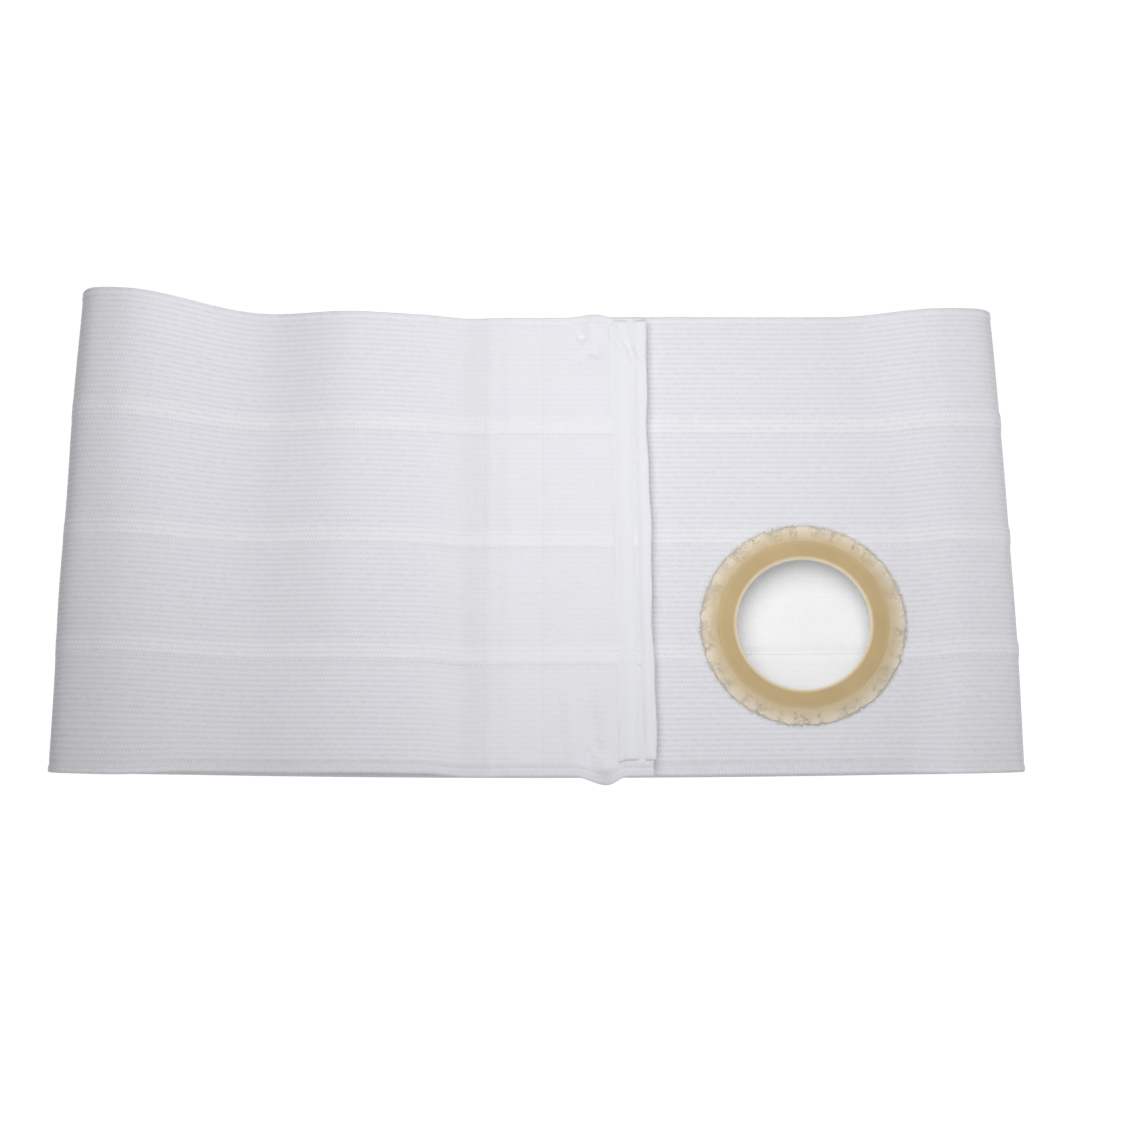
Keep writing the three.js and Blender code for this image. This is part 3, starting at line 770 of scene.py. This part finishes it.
# A line up the flap at one x, read from the bands' outer grids where each is on top
def flapLine(x):
    points = []
    for index, grid in enumerate(grids):
        clear = belt["overlap"] + thread["onTop"] if index else thread["fromHem"]
        first = np.argmax(grid["across"] >= clear)
        for row in range(first, len(grid["across"]) - 1):
            flap = grid["onFlap"][row]
            spots = grid["spots"][row][flap]
            points.append([np.interp(x, grid["x"][row][flap], spots[:, i]) for i in range(3)])
    return np.array(points)


# Stitch rows as band and distance: below the upper hem, two on each seam, above the lower hem
seamRows = [(0, 3.5), (0, -6.3), (0, -0.9), (1, -6.3), (1, -0.9), (2, -6.3), (2, -0.9), (3, -3.5)]
lines = [evenly(rowLine(*row), thread["seamPitch"]) for row in seamRows]
lines += [evenly(flapLine(x), thread["seamPitch"]) for x in thread["flapX"]]
middles, directions = (np.concatenate([line[i] for line in lines]) for i in (0, 1))
nearOpening = np.hypot(middles[:, 0] - ringX, middles[:, 1] - ringY) < ring["outer"] - thread["ringMargin"]
underRing = nearOpening & (middles[:, 2] > opening["from"])
middles, directions = middles[~underRing] - [0, 0, thread["seamSunk"]], directions[~underRing]
lengths = np.full(len(middles), thread["seamLength"])
seamStitches = stitchPiece("seam_stitches", middles, directions, lengths, thread["seamRadius"])

# The tape's stitches follow the column nearest to their line, where a low one counts as far away
fromStitches = np.abs(endTapeGrid["fromEnd"] - endTape["stitchFromEnd"])
fromStitches = fromStitches + endTape["underside"] * (endTapeGrid["z"] < endTape["stitchesAbove"])
tapeColumn = np.argmin(fromStitches, axis=1)[:, None]
tapeLine = np.concatenate([np.take_along_axis(endTapeGrid[axis], tapeColumn, 1) for axis in "xyz"], axis=1)
middles, directions = evenly(tapeLine + [0, middleY, -thread["tapeSunk"]], thread["tapePitch"])
lengths = np.full(len(middles), thread["tapeLength"])
tapeStitches = stitchPiece("tape_stitches", middles, directions, lengths, thread["tapeRadius"])

# The zigzag steps in and out over the border's rim, a corner at each half pair
zigzag = {"pairs": 76, "inner": 42.4, "outer": 44.6, "low": 11.6, "high": 12.1, "radius": 0.1, "drawn": 0.86}
corner = np.arange(2 * zigzag["pairs"] + 1) * math.pi / zigzag["pairs"]
out = np.arange(len(corner)) % 2
reach, level = mix(zigzag["inner"], zigzag["outer"], out), mix(zigzag["high"], zigzag["low"], out)
spots = np.stack([ringX + reach * np.cos(corner), ringY + reach * np.sin(corner), level], axis=-1)
run = np.diff(spots, axis=0)
lengths = zigzag["drawn"] * np.linalg.norm(run, axis=1)
middles = (spots[1:] + spots[:-1]) / 2
zigzagStitches = stitchPiece("border_zigzag", middles, run, lengths, zigzag["radius"])
print("stitches made")


# Wires a math node with sockets or numbers and returns its result
def compute(tree, operation, *values):
    node = tree.nodes.new("ShaderNodeMath")
    node.operation = operation
    for place, value in enumerate(values):
        if isinstance(value, (int, float)):
            node.inputs[place].default_value = value
        else:
            tree.links.new(value, node.inputs[place])
    return node.outputs[0]


# A socket times one value, plus another
def scaled(tree, value, factor, offset=0.0):
    return compute(tree, "MULTIPLY_ADD", value, factor, offset)


# The sine of a socket times a rate, plus a start
def wave(tree, value, rate, start=0.0):
    return compute(tree, "SINE", scaled(tree, value, rate, start))


# A colour between two colours by a share socket
def blendColours(tree, share, first, second):
    node = tree.nodes.new("ShaderNodeMix")
    node.data_type = "RGBA"
    tree.links.new(share, node.inputs[0])
    for place, value in ((6, first), (7, second)):
        if isinstance(value, tuple):
            node.inputs[place].default_value = (*value, 1)
        else:
            tree.links.new(value, node.inputs[place])
    return node.outputs[2]


# Smooth noise about 0.5 over a vector socket
def noise(tree, vector, scale, detail=2.0):
    node = tree.nodes.new("ShaderNodeTexNoise")
    node.inputs["Scale"].default_value = scale
    node.inputs["Detail"].default_value = detail
    tree.links.new(vector, node.inputs["Vector"])
    return node.outputs[0]


# The cloth coordinates in cm: the vector, the distance along the cloth and the one across it
def clothAxes(tree):
    cloth = tree.nodes.new("ShaderNodeUVMap")
    cloth.uv_map = "cloth"
    axes = tree.nodes.new("ShaderNodeSeparateXYZ")
    tree.links.new(cloth.outputs[0], axes.inputs[0])
    return cloth.outputs[0], axes.outputs[0], axes.outputs[1]


# A point's place on its piece, in metres
def objectPoint(tree):
    return tree.nodes.new("ShaderNodeTexCoord").outputs["Object"]


# The number that giveShares stored under this name
def storedShare(tree, name):
    node = tree.nodes.new("ShaderNodeAttribute")
    node.attribute_name = name
    return node.outputs["Fac"]


# A material whose shader sockets are constants, with a colour socket and a bump height socket wired in
def newFinish(name, settings, build):
    material = bpy.data.materials.new(name)
    material.use_nodes = True
    tree = material.node_tree
    shader = tree.nodes["Principled BSDF"]
    for socket, value in settings["shader"].items():
        shader.inputs[socket].default_value = value
    colour, height = build(tree)
    tree.links.new(colour, shader.inputs["Base Color"])
    bump = tree.nodes.new("ShaderNodeBump")
    bump.inputs["Distance"].default_value = settings["bump"] * mm
    bump.inputs["Strength"].default_value = 1.0
    tree.links.new(height, bump.inputs["Height"])
    tree.links.new(bump.outputs[0], shader.inputs["Normal"])
    return material


elasticFinish = {
    # inside is a paler colour for the inner side, painted light that lightens it where it lies in shade
    # behind the opening
    "single": (0.755, 0.755, 0.795), "doubled": (0.79, 0.79, 0.825), "inside": (0.94, 0.94, 0.945),
    # groove is a darker colour mixed in as painted shade in the rib grooves and between the knit stitches
    # there
    "groove": (0.6, 0.6, 0.65), "knitPitch": 1.45, "bump": 0.14,
    "fuzz": 14.0, "fuzzDetail": 3.0, "fuzzHeight": 0.35, "blotch": 0.55, "blotchDepth": 0.12,
    "breaks": 4.0, "breakDepth": 2.2, "breakStart": -0.2, "evened": 0.7,
    "ribShade": 0.13, "ribShadeLost": 0.09, "knitDotShade": 0.38, "stitchHeight": 0.3, "stitchLevel": 1.15,
    "shader": {"Roughness": 0.92, "Sheen Weight": 0.15, "Sheen Roughness": 0.5, "Specular IOR Level": 0.2},
}


# Ribbed knit: cosine ribs across, sine stitches along that swap sides on each rib, fine fuzz, and painted
# shade in the grooves
def elasticNodes(tree):
    look = elasticFinish
    vector, along, across = clothAxes(tree)
    turn = scaled(tree, across, cm / relief["ribPitch"])
    groove = scaled(tree, compute(tree, "COSINE", scaled(tree, turn, 2 * math.pi)), -0.5, 0.5)
    swap = scaled(tree, compute(tree, "ROUND", turn), math.pi)
    knit = wave(tree, along, 2 * math.pi * cm / look["knitPitch"], swap)
    fuzz = noise(tree, vector, look["fuzz"], look["fuzzDetail"])
    blotch = scaled(tree, noise(tree, vector, look["blotch"]), look["blotchDepth"], -look["blotchDepth"] / 2)

    stored = storedShare(tree, "doubled")
    layers = compute(tree, "MINIMUM", stored, 1.0)
    # Shares over 1 mark the inner side, which takes the paler inside colour: painted light
    inner = compute(tree, "MAXIMUM", compute(tree, "SUBTRACT", stored, 1.0), 0.0)
    outside = blendColours(tree, layers, look["single"], look["doubled"])
    plain = blendColours(tree, inner, outside, look["inside"])

    # Painted shade in the rib grooves: the groove colour mixed in, broken up by noise, weaker on flattened
    # and doubled cloth
    evened = scaled(tree, storedShare(tree, "flattened"), -look["evened"], 1.0)
    breaks = scaled(tree, noise(tree, vector, look["breaks"]), look["breakDepth"], look["breakStart"])
    grooveShadeMask = compute(tree, "MULTIPLY", groove, compute(tree, "MULTIPLY", evened, breaks))
    grooveShadeDepth = compute(tree, "MULTIPLY", grooveShadeMask, scaled(tree, layers, -look["ribShadeLost"], look["ribShade"]))
    ribbed = blendColours(tree, grooveShadeDepth, plain, look["groove"])
    # Dots of painted shade in the grooves between the knit stitches, plus random blotches, mixed towards the
    # groove colour
    knitDotShade = compute(tree, "MULTIPLY", scaled(tree, knit, -look["knitDotShade"], look["knitDotShade"]), grooveShadeMask)
    dotShadeAndBlotch = compute(tree, "MAXIMUM", compute(tree, "ADD", knitDotShade, blotch), 0.0)
    colour = blendColours(tree, dotShadeAndBlotch, ribbed, look["groove"])
    level = compute(tree, "SUBTRACT", look["stitchLevel"], groove)
    stitch = compute(tree, "MULTIPLY", scaled(tree, knit, look["stitchHeight"], look["stitchHeight"]), level)
    return colour, scaled(tree, fuzz, look["fuzzHeight"], stitch)


tapeFinish = {
    "light": (0.79, 0.795, 0.825), "dark": (0.715, 0.72, 0.75), "bump": 0.06,
    "twillPitch": 0.9, "twill": 0.25, "weftPitch": 0.6, "weft": 0.15, "weaveShade": 0.3,
    "fuzz": 18.0, "fuzzDetail": 3.0, "fuzzShade": 0.5,
    "shader": {"Roughness": 0.85, "Sheen Weight": 0.2, "Sheen Roughness": 0.4, "Specular IOR Level": 0.25},
}


# Close twill: two crossing sines on the cloth's own coordinates
def tapeNodes(tree):
    look = tapeFinish
    vector, along, across = clothAxes(tree)
    twill = wave(tree, compute(tree, "ADD", along, across), 2 * math.pi * cm / look["twillPitch"])
    weft = wave(tree, across, 2 * math.pi * cm / look["weftPitch"])
    fuzz = noise(tree, vector, look["fuzz"], look["fuzzDetail"])
    weave = scaled(tree, twill, look["twill"], scaled(tree, weft, look["weft"]))
    share = scaled(tree, fuzz, look["fuzzShade"], scaled(tree, weave, look["weaveShade"]))
    return blendColours(tree, share, look["light"], look["dark"]), compute(tree, "ADD", weave, fuzz)


gasketFinish = {
    "light": (0.55, 0.41, 0.215), "dark": (0.45, 0.33, 0.155), "rim": (0.8, 0.71, 0.54), "bump": 0.05,
    "cells": 900.0, "shade": 60.0, "shadeDetail": 3.0,
    "shader": {
        "Roughness": 0.55, "Specular IOR Level": 0.35, "Subsurface Weight": 0.1, "Subsurface Scale": 0.002,
    },
}


# Foam rubber: fine closed cells, slow tone changes, a painted highlight on the inner edge and a little paler
# near the outer edge
def gasketNodes(tree):
    look = gasketFinish
    point = objectPoint(tree)
    cells = noise(tree, point, look["cells"])
    shade = noise(tree, point, look["shade"], look["shadeDetail"])
    plain = blendColours(tree, shade, look["dark"], look["light"])
    return blendColours(tree, storedShare(tree, "rim"), plain, look["rim"]), cells


feltFinish = {
    "rim": (0.84, 0.765, 0.63), "heart": (0.53, 0.395, 0.21), "dark": (0.5, 0.39, 0.24), "bump": 0.1,
    "clumps": 160.0, "clumpDetail": 3.0, "clumpTone": 0.25, "clumpHeight": 0.3,
    "nap": 1400.0, "napHeight": 0.5,
    "shader": {"Roughness": 0.97, "Sheen Weight": 0.2, "Sheen Roughness": 0.6, "Specular IOR Level": 0.1},
}


# Brushed felt: darker at its heart, paler at its rim, with painted light on raised clumps and painted shade
# between them, and a fine nap
def feltNodes(tree):
    look = feltFinish
    point = objectPoint(tree)
    clumps = noise(tree, point, look["clumps"], look["clumpDetail"])
    nap = noise(tree, point, look["nap"])
    centred = compute(tree, "SUBTRACT", clumps, 0.5)
    tone = scaled(tree, centred, look["clumpTone"], storedShare(tree, "rim"))
    tone = compute(tree, "MINIMUM", compute(tree, "MAXIMUM", tone, 0.0), 1.0)
    plain = blendColours(tree, tone, look["heart"], look["rim"])
    # Painted shade in the hollows between clumps, mixed towards the dark colour
    shade = compute(tree, "MAXIMUM", scaled(tree, centred, -look["clumpTone"]), 0.0)
    height = scaled(tree, clumps, look["clumpHeight"], scaled(tree, nap, look["napHeight"]))
    return blendColours(tree, shade, plain, look["dark"]), height


threadFinish = {
    "white": (0.8, 0.8, 0.83), "grey": (0.78, 0.75, 0.7), "dim": 0.7, "plies": 2500.0, "bump": 0.05,
    "shader": {"Roughness": 0.7, "Specular IOR Level": 0.3},
}


# Sewing thread in one tone: fine twisted plies as noise on object coordinates
def threadNodes(tone):
    def nodes(tree):
        plies = noise(tree, objectPoint(tree), threadFinish["plies"], 1.0)
        dim = tuple(threadFinish["dim"] * value for value in tone)
        return blendColours(tree, plies, tone, dim), plies
    return nodes


finishes = {
    "elastic": newFinish("ribbed_elastic", elasticFinish, elasticNodes),
    "tape": newFinish("smooth_tape", tapeFinish, tapeNodes),
    "gasket": newFinish("foam_rubber", gasketFinish, gasketNodes),
    "felt": newFinish("brushed_felt", feltFinish, feltNodes),
    "thread": newFinish("white_thread", threadFinish, threadNodes(threadFinish["white"])),
    "greyThread": newFinish("grey_thread", threadFinish, threadNodes(threadFinish["grey"])),
}


# Gives a piece its finish and its body, and hides the imported solids that it stands for
def fit(piece, finish, replaces=()):
    piece.data.materials.clear()
    piece.data.materials.append(finishes[finish])
    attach(piece, "root")
    if replaces:
        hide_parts(*replaces)


for index, band in enumerate(bands):
    fit(band, "elastic", [f"elastic_band_{index + 1}"])
fit(endTapePiece, "tape", ["end_tape"])
fit(loopTape, "tape", ["loop_tape"])
fit(hookTape, "tape", ["hook_tape"])
fit(gasket, "gasket", ["ring_gasket"])
fit(border, "felt", ["ring_border"])
fit(pileHairs, "felt")
fit(seamStitches, "thread")
fit(tapeStitches, "thread")
fit(zigzagStitches, "greyThread")

# A wide dark floor whose own glow makes the background white
backdrop = {"half": 20000.0, "level": -0.1, "colour": 0.06, "roughness": 0.9, "glow": 0.99, "world": 0.18}
floorCorners = [(-1, -1), (1, -1), (1, 1), (-1, 1)]
floorPoints = [[backdrop["half"] * x, backdrop["half"] * y, backdrop["level"]] for x, y in floorCorners]
floor = newPiece("floor", np.array(floorPoints), [[0, 1, 2, 3]])
floorFinish = bpy.data.materials.new("pale_floor")
floorFinish.use_nodes = True
floorShader = floorFinish.node_tree.nodes["Principled BSDF"]
floorShader.inputs["Base Color"].default_value = (*[backdrop["colour"]] * 3, 1)
floorShader.inputs["Roughness"].default_value = backdrop["roughness"]
floorShader.inputs["Emission Color"].default_value = (1, 1, 1, 1)
floorShader.inputs["Emission Strength"].default_value = backdrop["glow"]
floor.data.materials.append(floorFinish)

view = {"aim": (10.4, -7.0, 9.0), "elevation": 75.0, "distance": 1500.0, "lens": 111.2, "clipEnd": 60}
up = math.radians(view["elevation"])
camera = bpy.data.objects.new("camera", bpy.data.cameras.new("camera"))
camera.data.lens = view["lens"]
camera.data.clip_end = view["clipEnd"]
camera.location = Vector(view["aim"]) * mm + Vector((0, -math.cos(up), math.sin(up))) * view["distance"] * mm
camera.rotation_euler = (math.pi / 2 - up, 0, 0)
bpy.context.scene.collection.objects.link(camera)
bpy.context.scene.camera = camera

lights = {
    "lamp": {"at": (32, 90, 280), "tilt": 0, "lean": 0, "power": 1.03, "size": 0.42},
    "fill": {"at": (40, -420, 420), "tilt": 45, "lean": 0, "power": 0.65, "size": 0.5},
    "left": {"at": (-620, 60, 90), "tilt": 0, "lean": -84, "power": 0.1, "size": 0.15},
    "right": {"at": (620, 0, 90), "tilt": 0, "lean": 84, "power": 0.32, "size": 0.15},
}
for name, light in lights.items():
    lamp = bpy.data.objects.new(name, bpy.data.lights.new(name, "AREA"))
    lamp.data.energy, lamp.data.size = light["power"], light["size"]
    lamp.location = Vector(light["at"]) * mm
    lamp.rotation_euler = (math.radians(light["tilt"]), math.radians(light["lean"]), 0)
    bpy.context.scene.collection.objects.link(lamp)

world = bpy.data.worlds.new("studio")
world.use_nodes = True
world.node_tree.nodes["Background"].inputs["Color"].default_value = (1, 1, 1, 1)
world.node_tree.nodes["Background"].inputs["Strength"].default_value = backdrop["world"]
bpy.context.scene.world = world
bpy.context.scene.view_settings.view_transform = "Standard"
print("stage, camera and lights set")
